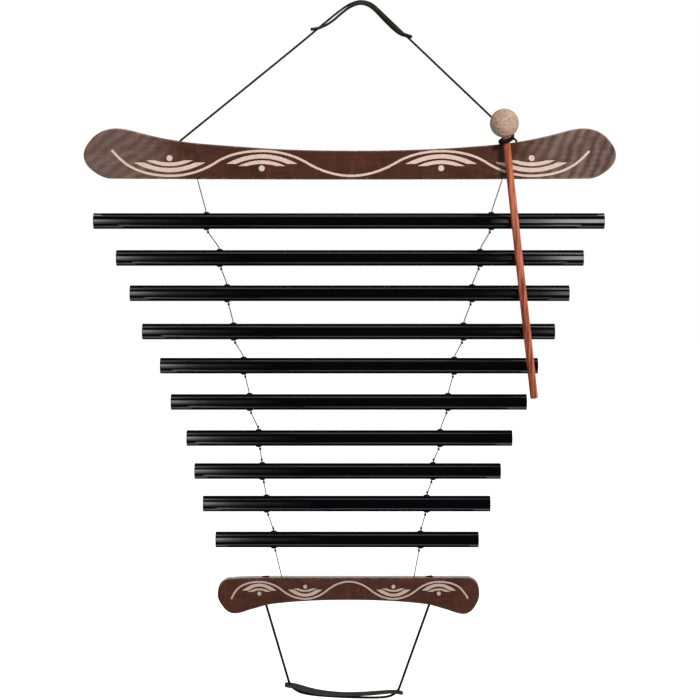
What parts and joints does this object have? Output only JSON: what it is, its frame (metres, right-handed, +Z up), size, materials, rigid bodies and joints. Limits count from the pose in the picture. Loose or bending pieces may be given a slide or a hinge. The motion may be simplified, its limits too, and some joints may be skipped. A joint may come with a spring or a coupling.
{
  "type": "meditation chime",
  "caption": "Hanging chime: dark tubes of falling length on two knotted threads between two shaped wooden bars, with a cord hanger, a cord handle and a mallet.",
  "frame": {"origin": "under the crown of the hanging strip, where the hook or finger bears", "axes": "+X to the player's right along the bars, +Y away from the player, +Z up"},
  "size_m": [0.5362, 0.0404, 0.7065],
  "materials": {
    "hardwood": "oiled dark hardwood",
    "tube": "black anodised, polished",
    "grommet": "matt",
    "thread": "twisted thread",
    "cord": "waxed black cord",
    "strip": "dark leather",
    "ball": "matt, speckled",
    "mallet_rod": "satin reddish hardwood",
    "loop": "glossy elastic"
  },
  "bodies": {
    "hanger": {"hanging_cord": "cord", "hanging_strip": "strip"},
    "upper_bar": {"top_bar": "hardwood", "hanging_cord_knots": "cord", "thread_ends": "thread"},
    "hung_tube_01": {"tube_01": "tube", "grommets_01": "grommet", "string_01": "thread"},
    "hung_tube_02": {"tube_02": "tube", "grommets_02": "grommet", "string_02": "thread"},
    "hung_tube_03": {"tube_03": "tube", "grommets_03": "grommet", "string_03": "thread"},
    "hung_tube_04": {"tube_04": "tube", "grommets_04": "grommet", "string_04": "thread"},
    "hung_tube_05": {"tube_05": "tube", "grommets_05": "grommet", "string_05": "thread"},
    "hung_tube_06": {"tube_06": "tube", "grommets_06": "grommet", "string_06": "thread"},
    "hung_tube_07": {"tube_07": "tube", "grommets_07": "grommet", "string_07": "thread"},
    "hung_tube_08": {"tube_08": "tube", "grommets_08": "grommet", "string_08": "thread"},
    "hung_tube_09": {"tube_09": "tube", "grommets_09": "grommet", "string_09": "thread"},
    "hung_tube_10": {"tube_10": "tube", "grommets_10": "grommet", "string_10": "thread"},
    "lower_bar": {"bottom_bar": "hardwood", "string_11": "thread", "handle_cord_knots": "cord"},
    "handle": {"handle_cord": "cord", "handle_strip": "strip"},
    "tie_loop": {"mallet_loop": "loop"},
    "mallet": {"mallet_ball": "ball", "mallet_handle": "mallet_rod"}
  },
  "joints": [
    {"name": "bar_swing", "type": "hinge", "parent": "hanger", "child": "upper_bar", "pos_m": [0, 0, -0.13817], "axis": [1, 0, 0], "range_deg": [0, 15]},
    {"name": "tube_01_swing", "type": "hinge", "parent": "upper_bar", "child": "hung_tube_01", "pos_m": [0, 0, -0.1781], "axis": [1, 0, 0], "range_deg": [0, 15]},
    {"name": "tube_02_swing", "type": "hinge", "parent": "hung_tube_01", "child": "hung_tube_02", "pos_m": [0, 0, -0.2305], "axis": [1, 0, 0], "range_deg": [0, 15]},
    {"name": "tube_03_swing", "type": "hinge", "parent": "hung_tube_02", "child": "hung_tube_03", "pos_m": [0, 0, -0.2678], "axis": [1, 0, 0], "range_deg": [0, 15]},
    {"name": "tube_04_swing", "type": "hinge", "parent": "hung_tube_03", "child": "hung_tube_04", "pos_m": [0, 0, -0.3035], "axis": [1, 0, 0], "range_deg": [0, 15]},
    {"name": "tube_05_swing", "type": "hinge", "parent": "hung_tube_04", "child": "hung_tube_05", "pos_m": [0, 0, -0.3423], "axis": [1, 0, 0], "range_deg": [0, 15]},
    {"name": "tube_06_swing", "type": "hinge", "parent": "hung_tube_05", "child": "hung_tube_06", "pos_m": [0, 0, -0.3769], "axis": [1, 0, 0], "range_deg": [-15, 15]},
    {"name": "tube_07_swing", "type": "hinge", "parent": "hung_tube_06", "child": "hung_tube_07", "pos_m": [0, 0, -0.4137], "axis": [1, 0, 0], "range_deg": [-15, 15]},
    {"name": "tube_08_swing", "type": "hinge", "parent": "hung_tube_07", "child": "hung_tube_08", "pos_m": [0, 0, -0.4503], "axis": [1, 0, 0], "range_deg": [-15, 15]},
    {"name": "tube_09_swing", "type": "hinge", "parent": "hung_tube_08", "child": "hung_tube_09", "pos_m": [0, 0, -0.4838], "axis": [1, 0, 0], "range_deg": [-15, 15]},
    {"name": "tube_10_swing", "type": "hinge", "parent": "hung_tube_09", "child": "hung_tube_10", "pos_m": [0, 0, -0.5169], "axis": [1, 0, 0], "range_deg": [-15, 15]},
    {"name": "lower_bar_swing", "type": "hinge", "parent": "hung_tube_10", "child": "lower_bar", "pos_m": [0, 0, -0.5534], "axis": [1, 0, 0], "range_deg": [-15, 15]},
    {"name": "handle_swing", "type": "hinge", "parent": "lower_bar", "child": "handle", "pos_m": [0, 0, -0.60737], "axis": [1, 0, 0], "range_deg": [-40, 40]},
    {"name": "tie_loop_swing", "type": "hinge", "parent": "hanger", "child": "tie_loop", "pos_m": [0.1534, 0, -0.13504], "axis": [0, 1, 0], "range_deg": [0, 12]},
    {"name": "mallet_lift", "type": "slide", "parent": "tie_loop", "child": "mallet", "axis": [-0.1097, 0, 0.994], "range_m": [0, 0.26]}
  ]
}
